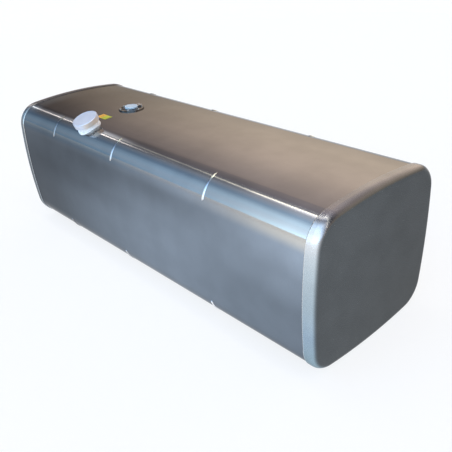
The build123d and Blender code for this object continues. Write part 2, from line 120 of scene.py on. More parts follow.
class Graph:
    """A shader's node tree, with short calls for the nodes that the finishes share."""

    def __init__(self, tree: bpy.types.NodeTree) -> None:
        """Takes over and empties the node tree of a material or of the world."""
        self.tree = tree
        tree.nodes.clear()

    def add(self, kind: str, **settings: object) -> bpy.types.Node:
        """Adds a node.

        Args:
            kind: the node's type name without the ShaderNode prefix.
            settings: the node's own properties.

        Returns:
            The new node.
        """
        node = self.tree.nodes.new("ShaderNode" + kind)
        for name, value in settings.items():
            setattr(node, name, value)
        return node

    def feed(self, socket: Socket, value: Value) -> None:
        """Links an output to a socket, or sets a constant on it.

        Args:
            socket: the input socket.
            value: an output socket, a number or a colour.
        """
        if isinstance(value, Socket):
            self.tree.links.new(value, socket)
        elif isinstance(value, tuple) and len(value) == 3 and len(socket.default_value) == 4:
            socket.default_value = (*value, 1.0)
        else:
            socket.default_value = value

    def math(self, operation: str, first: Value, second: Value = 0.0) -> Socket:
        """A Math node.

        Args:
            operation: the node's operation.
            first: the first input.
            second: the second input.

        Returns:
            The node's output.
        """
        node = self.add("Math", operation=operation)
        self.feed(node.inputs[0], first)
        self.feed(node.inputs[1], second)
        return node.outputs[0]

    def times(self, first: Value, second: Value) -> Socket:
        """The product of two numbers."""
        return self.math("MULTIPLY", first, second)

    def ramp(self, value: Value, stops: Union[Stops, ColourStops]) -> Socket:
        """A colour ramp that runs straight from stop to stop.

        Args:
            value: what is looked up, from 0 to 1.
            stops: pairs of a place and a colour or a grey level.

        Returns:
            The ramp's colour output.
        """
        node = self.add("ValToRGB")
        elements = node.color_ramp.elements
        for number, (place, level) in enumerate(stops):
            element = elements[number] if number < len(elements) else elements.new(place)
            element.position = place
            element.color = (*level, 1.0) if isinstance(level, tuple) else (level, level, level, 1.0)
        self.feed(node.inputs[0], value)
        return node.outputs[0]

    def along(self, x: Socket, stops: Stops) -> Socket:
        """Looks up a level along the tank.

        Args:
            x: the place along the tank, in metres.
            stops: pairs of such a place and its level.

        Returns:
            The level there.
        """
        far, near = LOOKUP
        share = self.span(x, far, near, linear=True)
        return self.ramp(share, tuple(((place - far) / (near - far), level) for place, level in stops))

    def span(self, value: Value, low: Value, high: Value, start: float = 0.0, end: float = 1.0,
             linear: bool = False) -> Socket:
        """A clamped Map Range node.

        Args:
            value: the number that is mapped.
            low: the input that gives start.
            high: the input that gives end.
            start: the output at low.
            end: the output at high.
            linear: whether it runs straight, without easing at its ends.

        Returns:
            The mapped value.
        """
        node = self.add("MapRange", interpolation_type="LINEAR" if linear else "SMOOTHSTEP")
        for socket, number in zip(node.inputs, (value, low, high, start, end)):
            self.feed(socket, number)
        return node.outputs[0]

    def window(self, value: Value, rise: Span, fall: Span) -> Socket:
        """Goes from 0 to 1 over the rise and back to 0 over the fall, each given from outside inwards."""
        return self.times(self.span(value, *rise), self.span(value, *fall))

    def mix(self, kind: Blend, factor: Value, first: Value, second: Value) -> Socket:
        """A colour Mix node.

        Args:
            kind: how the colours are joined.
            factor: how much of the second colour is used.
            first: the first colour.
            second: the second colour.

        Returns:
            The mixed colour.
        """
        node = self.add("Mix", data_type="RGBA", blend_type=kind.value)
        for number, value in ((0, factor), (6, first), (7, second)):
            self.feed(node.inputs[number], value)
        return node.outputs[2]

    def fade(self, factor: Value, first: Value, second: Value) -> Socket:
        """Goes from the first colour to the second one as the factor goes from 0 to 1."""
        return self.mix(Blend.MIX, factor, first, second)

    def tint(self, colour: Value, hue: Value, factor: Value = 1.0) -> Socket:
        """Multiplies a colour by another one, as far as the factor says."""
        return self.mix(Blend.MULTIPLY, factor, colour, hue)

    def place(self) -> Spot:
        """Reads the object coordinates of the point that is coloured.

        Returns:
            The point.
        """
        split = self.add("SeparateXYZ")
        self.feed(split.inputs[0], self.add("TexCoord").outputs["Object"])
        return Spot(*split.outputs)

    def noise(self, scale: float, detail: float, stretch: Triple = (1.0, 1.0, 1.0)) -> Socket:
        """Noise on object coordinates.

        Args:
            scale: cells in a metre.
            detail: the noise's detail.
            stretch: how each axis is scaled before the noise is read.

        Returns:
            The noise's value.
        """
        mapping = self.add("Mapping")
        self.feed(mapping.inputs["Vector"], self.add("TexCoord").outputs["Object"])
        mapping.inputs["Scale"].default_value = stretch
        node = self.add("TexNoise")
        self.feed(node.inputs["Vector"], mapping.outputs[0])
        node.inputs["Scale"].default_value = scale
        node.inputs["Detail"].default_value = detail
        return node.outputs["Fac"]

    def bump(self, height: Socket, distance: float) -> Socket:
        """A Bump node.

        Args:
            height: the height that it reads.
            distance: the height in metres that 1 stands for.

        Returns:
            The bumped normal.
        """
        node = self.add("Bump")
        node.inputs["Strength"].default_value = 1.0
        node.inputs["Distance"].default_value = distance
        self.feed(node.inputs["Height"], height)
        return node.outputs[0]


@dataclass(frozen=True)
class Finish:
    """A finish that a Principled shader gives, with fine variation over the surface.

    Attributes:
        name: the material's name.
        colour: its base colour, linear. A finish whose colour_of gives colours of its own can leave it out.
        metallic: 1 for bare metal.
        roughness: its mean roughness.
        mottle: how much the colour varies.
        mottle_scale: cells of that variation in a metre.
        mottle_detail: detail of that variation.
        grain: how much the roughness varies.
        grain_scale: cells of the grain in a metre.
        grain_detail: detail of the grain.
        grain_stretch: how the grain is drawn out along each axis.
        noise_span: the part of a noise's range that holds nearly all of it.
        bump: depth of the grain in metres.
        edge: how bright bare metal gets where it is seen at a low angle.
    """

    name: str
    colour: Colour = (0.5, 0.5, 0.5)
    metallic: float = 1.0
    roughness: float = 0.3
    mottle: float = 0.06
    mottle_scale: float = 9.0
    mottle_detail: float = 3.0
    grain: float = 0.06
    grain_scale: float = 300.0
    grain_detail: float = 2.0
    grain_stretch: Triple = (1.0, 1.0, 1.0)
    noise_span: Span = (0.3, 0.7)
    bump: float = 0.02 * MM
    edge: float = 1.0

    def colour_of(self, graph: Graph) -> Value:
        """The base colour before its mottling; finishes with zones override it."""
        return self.colour

    def make(self) -> bpy.types.Material:
        """Builds the material.

        Returns:
            The new material.
        """
        material = bpy.data.materials.new(self.name)
        material.use_nodes = True
        graph = Graph(material.node_tree)
        shader = graph.add("BsdfPrincipled")
        output = graph.add("OutputMaterial")
        graph.feed(output.inputs["Surface"], shader.outputs[0])
        shader.inputs["Metallic"].default_value = self.metallic
        shader.inputs["Specular Tint"].default_value = (self.edge, self.edge, self.edge, 1.0)
        cloud = graph.noise(self.mottle_scale, self.mottle_detail)
        tone = graph.span(cloud, *self.noise_span, 1.0 - self.mottle, 1.0 + self.mottle)
        graph.feed(shader.inputs["Base Color"], graph.tint(self.colour_of(graph), tone))
        grain = graph.noise(self.grain_scale, self.grain_detail, self.grain_stretch)
        change = graph.span(grain, *self.noise_span, -self.grain, self.grain)
        graph.feed(shader.inputs["Roughness"], graph.math("ADD", change, self.roughness))
        graph.feed(shader.inputs["Normal"], graph.bump(grain, self.bump))
        return material


@dataclass(frozen=True)
class RolledSheet(Finish):
    """The shell's bright rolled sheet, with painted reflections and painted shade: neutral on top, steel blue
    on the sides, darker towards the far end.

    A level says how bright a zone is with its painted reflection and shade. Levels along the tank are pairs
    of a place and a level, and a pair of places is where one zone fades into the next. All places are in
    metres.

    Attributes:
        painted_side_reflection: painted blue reflection on the sides.
        side_foot: levels along the tank of the filler side's painted reflection and shade at its foot.
        side_mid: the same a little above the middle.
        side_head: the same just under the corner.
        foot_to_mid: heights between which the foot's levels give way to the middle's.
        mid_to_head: the same from the middle to just under the corner.
        shoulder: levels along the tank of the painted reflection on the corner's lower half.
        painted_near_reflection: hue of the shoulder's painted reflection at the near end.
        near_shoulder: places along the tank between which that hue comes in.
        head_to_shoulder: heights between which the shoulder begins.
        painted_back_reflection: the back's colour, the sides' painted blue reflection at one level.
        side_to_back: places across the tank between which that colour takes over.
        painted_top_shade: levels along the tank of the top, against its colour: painted shade, darker towards
            the far end.
        painted_far_highlight: painted highlight that makes the top's filler side brighter and bluer at its
            far end.
        lift_along: places along the tank between which that comes in.
        lift_across: places across the tank between which it comes in.
        crest: levels along the tank of the painted reflection on the corner's upper half.
        painted_crest_reflection: warm hue of the crest's painted reflection at the near end.
        near_crest: places along the tank between which that hue comes in.
        crest_to_top: heights between which the crest gives way to the top.
        painted_ridge_shade: painted shade on the filler side's topmost strip of the corner, as levels along
            the tank against its colour.
        ridge_foot: heights between which that strip begins.
        ridge_head: heights between which it ends, from outside inwards.
        ridge_across: places across the tank between which it comes in.
        painted_back_edge_shade: painted shade on the top's back edge, as levels along the tank against its
            colour.
        edge_across: places across the tank between which that edge begins.
        shoulder_to_top: heights between which the shoulder gives way to the crest.
        painted_fold_reflection: painted bluish reflection on the corner's foot towards the far end.
        fold_foot: heights between which that hue begins.
        fold_head: heights between which it ends, from outside inwards.
        fold_along: places along the tank between which it comes in.
    """

    colour: Colour = (0.43, 0.43, 0.43)
    mottle: float = 0.04
    grain: float = 0.03
    edge: float = 0.6
    painted_side_reflection: Colour = (0.83, 1.0, 1.22)
    side_foot: Stops = ((-0.93, 0.095), (-0.70, 0.116), (-0.30, 0.226), (0.0, 0.278), (0.25, 0.294),
                        (0.60, 0.234), (0.90, 0.219))
    side_mid: Stops = ((-0.93, 0.095), (-0.70, 0.089), (-0.30, 0.144), (0.0, 0.238), (0.25, 0.277),
                       (0.60, 0.275), (0.90, 0.30))
    side_head: Stops = ((-0.93, 0.120), (-0.70, 0.107), (-0.30, 0.113), (0.0, 0.170), (0.25, 0.192),
                        (0.60, 0.280), (0.90, 0.41))
    foot_to_mid: Span = (0.25, 0.37)
    mid_to_head: Span = (0.37, 0.48)
    shoulder: Stops = ((-0.93, 0.148), (-0.70, 0.126), (-0.30, 0.150), (0.0, 0.210), (0.25, 0.265),
                       (0.60, 0.39), (0.90, 0.62))
    painted_near_reflection: Colour = (1.00, 1.00, 0.96)
    near_shoulder: Span = (0.25, 0.85)
    head_to_shoulder: Span = (0.48, 0.525)
    painted_back_reflection: Colour = (0.2158, 0.26, 0.3172)
    side_to_back: Span = (-0.10, 0.20)
    painted_top_shade: Stops = ((-0.93, 0.55), (-0.70, 0.54), (-0.30, 0.95), (0.0, 1.03), (0.25, 1.01), (0.60, 1.0),
                       (0.90, 0.925))
    painted_far_highlight: Colour = (1.60, 1.85, 2.05)
    lift_along: Span = (-0.80, -0.91)
    lift_across: Span = (0.05, -0.18)
    crest: Stops = ((-0.93, 0.31), (-0.70, 0.28), (-0.30, 0.35), (0.0, 0.39), (0.90, 0.405))
    painted_crest_reflection: Colour = (1.10, 1.0, 0.90)
    near_crest: Span = (0.20, 0.85)
    crest_to_top: Span = (0.570, 0.602)
    painted_ridge_shade: Stops = ((-0.70, 1.0), (-0.20, 1.0), (0.0, 0.64), (0.25, 0.76), (0.60, 0.74), (0.85, 1.0))
    ridge_foot: Span = (0.584, 0.592)
    ridge_head: Span = (0.606, 0.601)
    ridge_across: Span = (-0.10, -0.15)
    painted_back_edge_shade: Stops = ((-0.93, 0.55), (-0.70, 0.62), (-0.30, 0.80), (0.0, 1.0), (0.25, 1.0), (0.60, 0.86),
                        (0.90, 0.78))
    edge_across: Span = (0.215, 0.248)
    shoulder_to_top: Span = (0.518, 0.560)
    painted_fold_reflection: Colour = (0.82, 0.95, 1.04)
    fold_foot: Span = (0.500, 0.530)
    fold_head: Span = (0.553, 0.541)
    fold_along: Span = (0.20, -0.25)

    def side_of(self, graph: Graph, spot: Spot) -> Socket:
        """The painted reflection and shade of the sides and of the corner's lower half.

        Args:
            graph: the material's nodes.
            spot: the point that is coloured.

        Returns:
            The colour there.
        """
        # Painted reflection and shade: the sides' brightness by height and along the tank, darker towards the
        # far end.
        side = graph.fade(graph.span(spot.z, *self.foot_to_mid), graph.along(spot.x, self.side_foot),
                          graph.along(spot.x, self.side_mid))
        side = graph.fade(graph.span(spot.z, *self.mid_to_head), side, graph.along(spot.x, self.side_head))
        # Painted blue reflection of the sides, with a warmer hue on the shoulder at the near end.
        side = graph.tint(side, self.painted_side_reflection)
        hue = graph.fade(graph.span(spot.x, *self.near_shoulder), self.painted_side_reflection, self.painted_near_reflection)
        shoulder = graph.tint(graph.along(spot.x, self.shoulder), hue)
        side = graph.fade(graph.span(spot.z, *self.head_to_shoulder), side, shoulder)
        # The back gets the sides' painted blue reflection at one level.
        return graph.fade(graph.span(spot.y, *self.side_to_back), side, self.painted_back_reflection)

    def top_of(self, graph: Graph, spot: Spot) -> Socket:
        """The painted reflection and shade of the top and of the corner's upper half.

        Args:
            graph: the material's nodes.
            spot: the point that is coloured.

        Returns:
            The colour there.
        """
        # Painted shade: the top darker towards the far end.
        top = graph.tint(self.colour, graph.along(spot.x, self.painted_top_shade))
        # Painted highlight: the top's filler side brighter and bluer at its far end.
        lift = graph.times(graph.span(spot.x, *self.lift_along), graph.span(spot.y, *self.lift_across))
        top = graph.tint(top, self.painted_far_highlight, lift)
        # Painted reflection on the corner's upper half, warmer at the near end.
        near = graph.span(spot.x, *self.near_crest)
        crest = graph.tint(graph.along(spot.x, self.crest), self.painted_crest_reflection, near)
        top = graph.fade(graph.span(spot.z, *self.crest_to_top), crest, top)
        # Painted shade over the topmost strip of the corner on the filler side.
        painted_ridge_shade = graph.window(spot.z, self.ridge_foot, self.ridge_head)
        painted_ridge_shade = graph.times(painted_ridge_shade, graph.span(spot.y, *self.ridge_across))
        top = graph.tint(top, graph.along(spot.x, self.painted_ridge_shade), painted_ridge_shade)
        # Painted shade on the top's back edge.
        edge = graph.span(spot.y, *self.edge_across)
        return graph.tint(top, graph.along(spot.x, self.painted_back_edge_shade), edge)

    def colour_of(self, graph: Graph) -> Value:
        """Joins the sides and the top over the corner, and paints a bluish reflection on the corner's foot.

        Args:
            graph: the material's nodes.

        Returns:
            The sheet's colour, with its painted reflections and shade.
        """
        spot = graph.place()
        sheet = graph.fade(graph.span(spot.z, *self.shoulder_to_top), self.side_of(graph, spot),
                           self.top_of(graph, spot))
        # Painted bluish reflection on the corner's foot towards the far end.
        fold = graph.window(spot.z, self.fold_foot, self.fold_head)
        fold = graph.times(fold, graph.span(spot.x, *self.fold_along))
        return graph.tint(sheet, self.painted_fold_reflection, fold)


@dataclass(frozen=True)
class SenderRing(RolledSheet):
    """The sender's ring: the sheet's painted reflections, with painted shade round the sender's head and on
    its rim.

    Attributes:
        centre: the sender's middle, along and across the tank.
        inner: radius of the lip of painted shade round the head.
        inner_fade: how far inwards the lip takes to get dark.
        outer: radius where the painted shade on the rim begins.
        outer_fade: how far outwards the rim takes to get dark.
        lip: colour of the painted shade on the lip.
        rim: how much the painted shade darkens the rim.
    """

    centre: tuple[float, float] = (-410 * MM, -7 * MM)
    inner: float = 49 * MM
    inner_fade: float = 1 * MM
    outer: float = 57.2 * MM
    outer_fade: float = 0.5 * MM
    lip: Colour = (0.06, 0.09, 0.13)
    rim: Colour = (0.50, 0.50, 0.50)

    def colour_of(self, graph: Graph) -> Value:
        """Paints shade over the sheet's colour on the lip and on the rim.

        Args:
            graph: the material's nodes.

        Returns:
            The ring's colour.
        """
        spot = graph.place()
        along = graph.math("POWER", graph.math("SUBTRACT", spot.x, self.centre[0]), 2.0)
        across = graph.math("POWER", graph.math("SUBTRACT", spot.y, self.centre[1]), 2.0)
        radius = graph.math("SQRT", graph.math("ADD", along, across))
        # Painted shade round the sender's head and on the ring's rim.
        lip = graph.span(radius, self.inner, self.inner - self.inner_fade)
        rim = graph.span(radius, self.outer, self.outer + self.outer_fade)
        return graph.tint(graph.tint(super().colour_of(graph), self.lip, lip), self.rim, rim)


@dataclass(frozen=True)
class PressedHead(Finish):
    """A pressed end head: painted reflections on its satin skirt and knuckle, painted shade on its flat face.

    Attributes:
        skirt: painted reflections on the near head's skirt, by height.
        far_skirt: the same for the far head, darker with painted shade like the sheet beside it.
        near_to_far: places along the tank between which the far head's colours take over.
        painted_face_shade: the flat face's colour, painted dark as shade.
        face_start: how far out from the tank's middle the face's colour begins.
        face_start_above: the same on the top edge.
        above: heights between which the top edge begins.
        face_full: how far out the face's colour is complete.
        shade: how dark the face is at its back, against its colour.
        shade_across: places across the tank between which that shade comes in.
    """

    skirt: ColourStops = (
        (0.08, (0.31, 0.43, 0.50)), (0.19, (0.35, 0.46, 0.57)), (0.31, (0.44, 0.54, 0.61)),
        (0.43, (0.50, 0.58, 0.63)), (0.49, (0.60, 0.66, 0.70)), (0.53, (0.80, 0.82, 0.84)),
        (0.56, (0.66, 0.55, 0.51)), (0.580, (0.80, 0.72, 0.66)), (0.589, (0.17, 0.165, 0.17)),
        (0.598, (0.40, 0.40, 0.42)), (0.604, (0.50, 0.49, 0.50)), (0.612, (0.41, 0.42, 0.43)),
    )
    far_skirt: ColourStops = (
        (0.05, (0.18, 0.21, 0.24)), (0.30, (0.14, 0.17, 0.20)), (0.50, (0.17, 0.21, 0.25)),
        (0.56, (0.32, 0.35, 0.37)), (0.60, (0.33, 0.32, 0.31)),
    )
    near_to_far: Span = (0.1, -0.1)
    painted_face_shade: Colour = (0.098, 0.108, 0.115)
    face_start: float = 0.958
    face_start_above: float = 0.946
    above: Span = (0.555, 0.595)
    face_full: float = 0.969
    shade: Colour = (0.80, 0.79, 0.78)
    shade_across: Span = (-0.30, 0.32)

    def colour_of(self, graph: Graph) -> Value:
        """Paints shade on the flat face, with a soft edge on the knuckle.

        Args:
            graph: the material's nodes.

        Returns:
            The head's colour.
        """
        spot = graph.place()
        start = graph.span(spot.z, *self.above, self.face_start, self.face_start_above)
        face = graph.span(graph.math("ABSOLUTE", spot.x), start, self.face_full)
        # Painted reflections on the skirt by height, darker on the far head.
        skirt = graph.fade(graph.span(spot.x, *self.near_to_far), graph.ramp(spot.z, self.skirt),
                           graph.ramp(spot.z, self.far_skirt))
        # Painted shade on the flat face, darker towards its back.
        plain = graph.tint(self.painted_face_shade, self.shade, graph.span(spot.y, *self.shade_across))
        return graph.fade(face, skirt, plain)


@dataclass(frozen=True)
class BeadMetal(Finish):
    """Weld metal of the corner beads, with painted reflections: bright low down, dim near the top, with a
    painted warm glint at the upper end, and painted shade towards the far end.

    Attributes:
        heights: painted reflections of a bead, as colours by height.
        levels: how bright the beads' painted reflections are along the tank, darker towards the far end.
    """

    heights: ColourStops = (
        (0.530, (0.92, 0.93, 0.96)), (0.556, (0.72, 0.77, 0.83)), (0.572, (0.42, 0.46, 0.52)),
        (0.581, (0.24, 0.26, 0.30)), (0.589, (0.26, 0.27, 0.26)), (0.594, (0.92, 0.92, 0.70)),
        (0.598, (0.55, 0.54, 0.46)), (0.603, (0.30, 0.29, 0.30)),
    )
    levels: Stops = ((-0.70, 0.32), (-0.50, 0.36), (-0.12, 0.66), (0.30, 0.92), (0.60, 1.0))

    def colour_of(self, graph: Graph) -> Value:
        """Looks the painted reflection up by height and paints shade on it towards the far end."""
        spot = graph.place()
        # Painted reflections by height, with painted shade towards the far end.
        return graph.tint(graph.ramp(spot.z, self.heights), graph.along(spot.x, self.levels))


@dataclass(frozen=True)
class SeamMetal(Finish):
    """Weld metal of the seams, with painted reflections: brightest on the sides, with painted shade at the
    far end.

    Attributes:
        heights: painted reflections of a seam, as colours by height.
        painted_far_shade: how bright the far end is against the near one, as painted shade.
        near_to_far: places along the tank between which it gets darker.
    """

    heights: ColourStops = (
        (0.05, (0.62, 0.70, 0.78)), (0.30, (0.76, 0.80, 0.84)), (0.53, (0.90, 0.90, 0.88)),
        (0.580, (0.80, 0.76, 0.70)), (0.592, (0.50, 0.49, 0.48)), (0.612, (0.44, 0.44, 0.44)),
    )
    painted_far_shade: float = 0.5
    near_to_far: Span = (0.1, -0.1)

    def colour_of(self, graph: Graph) -> Value:
        """Looks the painted reflection up by height and paints shade on the far end.

        Args:
            graph: the material's nodes.

        Returns:
            The seams' colour.
        """
        spot = graph.place()
        # Painted reflections by height, with painted shade on the far end.
        far = graph.span(spot.x, *self.near_to_far)
        return graph.tint(graph.ramp(spot.z, self.heights), (self.painted_far_shade,) * 3, far)


@dataclass(frozen=True)
class CapMetal(Finish):
    """The satin cap: cool on its top and towards the far end, with a painted warm reflection on its skirt
    towards the near end.

    Attributes:
        foot: the point where the filler's axis meets the shell.
        tilt: how far that axis leans towards the filler side, in degrees.
        top: height of the skirt's upper edge along the axis.
        top_fade: how far below it the skirt's colour is complete.
        warm: the colour of the painted warm reflection on the skirt's near side.
        near_side: places along the tank, from the filler's axis, between which that colour comes in.
    """

    foot: Triple = (-387 * MM, -249.5 * MM, 599.15 * MM)
    tilt: float = 20.0
    top: float = 38.5 * MM
    top_fade: float = 1 * MM
    warm: Colour = (0.66, 0.56, 0.47)
    near_side: Span = (30 * MM, 54 * MM)

    def colour_of(self, graph: Graph) -> Value:
        """Paints a warm reflection on the near side of the skirt.

        Args:
            graph: the material's nodes.

        Returns:
            The cap's colour.
        """
        spot = graph.place()
        tilt = math.radians(self.tilt)
        lean = graph.times(graph.math("SUBTRACT", spot.y, self.foot[1]), -math.sin(tilt))
        rise = graph.times(graph.math("SUBTRACT", spot.z, self.foot[2]), math.cos(tilt))
        skirt = graph.span(graph.math("ADD", lean, rise), self.top, self.top - self.top_fade)
        near = graph.span(graph.math("SUBTRACT", spot.x, self.foot[0]), *self.near_side)
        # Painted warm reflection on the near side of the skirt.
        return graph.fade(graph.times(skirt, near), self.colour, self.warm)


@dataclass(frozen=True)
class BlankFoil(Finish):
    """The bare foil beside the filler: orange at one end, yellow green at the other.

    Attributes:
        middle: where its two fields meet along the tank.
        blur: how far each field runs into the other.
        far_field: the colour of its far field.
        near_field: the colour of its near field.
    """

    middle: float = -418 * MM
    blur: float = 8 * MM
    far_field: Colour = (0.78, 0.36, 0.03)
    near_field: Colour = (0.50, 0.50, 0.02)

    def colour_of(self, graph: Graph) -> Value:
        """Joins the two fields softly."""
        near = graph.span(graph.place().x, self.middle - self.blur, self.middle + self.blur)
        return graph.fade(near, self.far_field, self.near_field)


class Finishes:
    """Every finish of the tank, each built once."""

    def __init__(self) -> None:
        """Builds the materials and says which slots and nodes wear them."""
        sheet = RolledSheet("rolled_sheet", roughness=0.12, grain_scale=400.0, grain_stretch=(0.02, 1.0, 1.0))
        ring = SenderRing("sender_ring", roughness=0.14).make()
        neck = Finish("turned_neck", (0.88, 0.87, 0.85), metallic=0.15, roughness=0.6).make()
        self.corner_bead = BeadMetal("corner_bead", roughness=0.26, bump=0.05 * MM).make()
        self.by_slot = {
            "shell_sheet": sheet.make(),
            "head_sheet": PressedHead("pressed_head", roughness=0.26, edge=0.68).make(),
            "weld": SeamMetal("weld_bead", roughness=0.28, grain_scale=230.0, bump=0.4 * MM).make(),
            "neck": neck,
            "cap": CapMetal("satin_cap", (0.62, 0.65, 0.73), metallic=0.6, roughness=0.4).make(),
            "zinc": Finish("zinc_plate", (0.6, 0.61, 0.6), roughness=0.28).make(),
            "spring_steel": Finish("spring_steel", (0.2, 0.21, 0.23)).make(),
            "seal": self.plastic("seal_rubber", (0.02, 0.02, 0.022), 0.7),
            "sender_plastic": self.plastic("sender_plastic", (0.03, 0.035, 0.045), 0.35, smooth=True),
            "lid_plastic": self.plastic("lid_plastic", (0.44, 0.52, 0.58), 0.3, smooth=True),
            "float_foam": self.plastic("float_foam", (0.03, 0.03, 0.032), 0.8),
            "copper": Finish("washer_copper", (0.72, 0.35, 0.2)).make(),
            "patch": BlankFoil("blank_foil", metallic=0.0).make(),
        }
        self.by_node = {"sender_pad": ring, "sender_weld": ring, "sender_clamp_ring": ring,
                        "filler_weld": neck}

    def plastic(self, name: str, colour: Colour, roughness: float,
                smooth: bool = False) -> bpy.types.Material:
        """A plastic, rubber or foam, which can have the fine grain of a smooth moulded skin."""
        skin = {"grain": 0.03, "bump": 0.004 * MM} if smooth else {}
        return Finish(name, colour, metallic=0.0, roughness=roughness, **skin).make()

    def dress_frame(self) -> None:
        """Gives every carried-over node the material of its slot, or its own where it has one."""
        for row in frame["record"]["subparts"]:
            node = frame["nodes"][row["node"]]
            material = self.by_node.get(row["node"], self.by_slot[row["material_slot"]])
            for slot in node.material_slots:
                slot.material = material
            LOG.info("%s: %s", row["node"], material.name)


@dataclass
class CornerBeads:
    """The raised weld beads over the shell's four corners, three along the tank, with their ripples.

    Attributes:
        places: where they lie along the tank.
        corner: how far a corner's centre lies from the tank's middle, across and up.
        middle: the height of the tank's middle.
        reach: from the corner's centre to its surface.
        width: of a bead.
        height: of a bead above the surface.
        foot: how deep its flat underside sits in the surface.
        slack: points of its section that lie deeper than this go to its underside.
        low: the angle where it starts, from the level of the corner's centre, in degrees.
        high: the angle where it ends.
        sides: points round its section.
        steps: rings along it.
        ripple: depth of its ripples.
        taper: how narrow its upper end is, against its lower one.
        dome: the share of its length that each rounded end takes.
        tip: how narrow a rounded end is at its tip.
        merge: points nearer than this are one.
        crease: edges sharper than this stay sharp, in degrees.
    """

    places: tuple[float, ...] = (-608 * MM, -126 * MM, 457 * MM)
    corner: tuple[float, float] = (216.54 * MM, 187.67 * MM)
    middle: float = 310 * MM
    reach: float = 106.8 * MM
    width: float = 12 * MM
    height: float = 2.6 * MM
    foot: float = 0.4 * MM
    slack: float = 0.04 * MM
    low: float = 13.0
    high: float = 76.0
    sides: int = 14
    steps: int = 76
    ripple: float = 0.35 * MM
    taper: float = 0.72
    dome: float = 1 / 16
    tip: float = 0.2
    merge: float = 0.01 * MM
    crease: float = 60.0

    def build(self, finishes: Finishes) -> None:
        """Builds the beads, joins them to one piece and dresses it.

        Args:
            finishes: the tank's finishes.
        """
        bead = self.model_bead()
        beads = [self.copy_bead(bead, place, side, level)
                 for place in self.places for side in Side for level in Level]
        bpy.data.objects.remove(bead)
        bpy.ops.object.select_all(action="DESELECT")
        for copy in beads:
            copy.select_set(True)
        bpy.context.view_layer.objects.active = beads[0]
        bpy.ops.object.join()
        piece = bpy.context.object
        piece.name = "corner_beads"
        piece.data.materials.clear()
        piece.data.materials.append(finishes.corner_bead)
        self.finish(piece)
        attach(piece, Body.TANK.value)
        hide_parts("baffle_welds")
        LOG.info("%s: %d faces", piece.name, len(piece.data.polygons))

    def model_bead(self) -> bpy.types.Object:
        """Models one bead round the X axis, starting level with it.

        Returns:
            The bead, closed at both ends.
        """
        bpy.ops.object.select_all(action="DESELECT")
        bpy.ops.mesh.primitive_circle_add(vertices=self.sides, radius=self.width / 2, location=(0, 0, 0))
        bead = bpy.context.object
        bead.name = "bead_model"
        bpy.ops.object.mode_set(mode="EDIT")
        self.shape_section(bead)
        sweep = math.radians(self.high - self.low)
        bpy.ops.mesh.spin(steps=self.steps, angle=sweep, center=(0, 0, 0), axis=(1, 0, 0))
        step = sweep / self.steps
        for ring in range(self.steps + 1):
            self.shape_ring(bead, ring, step)
        for ring in (0, self.steps):
            self.pick_ring(bead, ring, step)
            bpy.ops.mesh.edge_face_add()
        bpy.ops.object.mode_set(mode="OBJECT")
        return bead

    def shape_section(self, bead: bpy.types.Object) -> None:
        """Presses the circle to the bead's height, moves it to the surface and flattens its underside.

        Args:
            bead: the circle, in edit mode.
        """
        bpy.ops.mesh.select_all(action="SELECT")
        bpy.ops.transform.resize(value=(1.0, 2 * self.height / self.width, 1.0), center_override=(0, 0, 0))
        bpy.ops.transform.translate(value=(0, self.reach, 0))
        self.pick(bead, lambda point: point.y < self.reach - self.slack)
        bpy.ops.transform.resize(value=(1.0, 0.0, 1.0), center_override=(0, self.reach - self.foot, 0))
        bpy.ops.mesh.select_all(action="SELECT")

    def shape_ring(self, bead: bpy.types.Object, ring: int, step: float) -> None:
        """Tapers one ring of the bead, rounds it near the ends and sinks every other one.

        Args:
            bead: the bead, in edit mode.
            ring: the ring's number from the start.
            step: the angle from ring to ring.
        """
        share = ring / self.steps
        self.pick_ring(bead, ring, step)
        inside = max(0.0, 1 - min(share, 1 - share) / self.dome)
        round_end = math.sqrt(max(self.tip ** 2, 1 - inside ** 2))
        narrow = (1 - (1 - self.taper) * share) * round_end
        bpy.ops.transform.resize(value=(narrow, 1.0, 1.0), center_override=(0, 0, 0))
        if ring % 2:
            bpy.ops.transform.shrink_fatten(value=-self.ripple)

    def pick_ring(self, bead: bpy.types.Object, ring: int, step: float) -> None:
        """Selects the points within a quarter step of a ring."""
        self.pick(bead, lambda point: abs(abs(math.atan2(point.z, point.y)) - ring * step) < step / 4)

    def pick(self, piece: bpy.types.Object, wanted: Callable[[Vector], bool]) -> None:
        """Selects the points of a piece in edit mode by their place.

        Args:
            piece: the piece that is being edited.
            wanted: says whether a point is selected.
        """
        bpy.ops.mesh.select_all(action="DESELECT")
        bpy.ops.object.mode_set(mode="OBJECT")
        for point in piece.data.vertices:
            point.select = wanted(point.co)
        bpy.ops.object.mode_set(mode="EDIT")

    def copy_bead(self, bead: bpy.types.Object, place: float, side: Side, level: Level) -> bpy.types.Object:
        """Puts a copy of the bead, with its own mesh, on one corner of the shell.

        Args:
            bead: the bead that is copied.
            place: where it goes along the tank.
            side: the side that the corner is on.
            level: whether the corner is at the bottom or the top.

        Returns:
            The copy.
        """
        copy = bead.copy()
        copy.data = bead.data.copy()
        copy.name = f"corner_bead_{len(bpy.data.objects)}"
        bpy.context.collection.objects.link(copy)
        upwards = 1 if sum(point.co.z for point in bead.data.vertices) > 0 else -1
        turn = Matrix.Rotation(math.radians(self.low), 4, "X") @ Matrix.Diagonal((1, 1, upwards, 1))
        flip = Matrix.Diagonal((1, side.value, level.value, 1))
        across, up = self.corner
        shift = Matrix.Translation((place, side.value * across, self.middle + level.value * up))
        copy.data.transform(shift @ flip @ turn)
        return copy

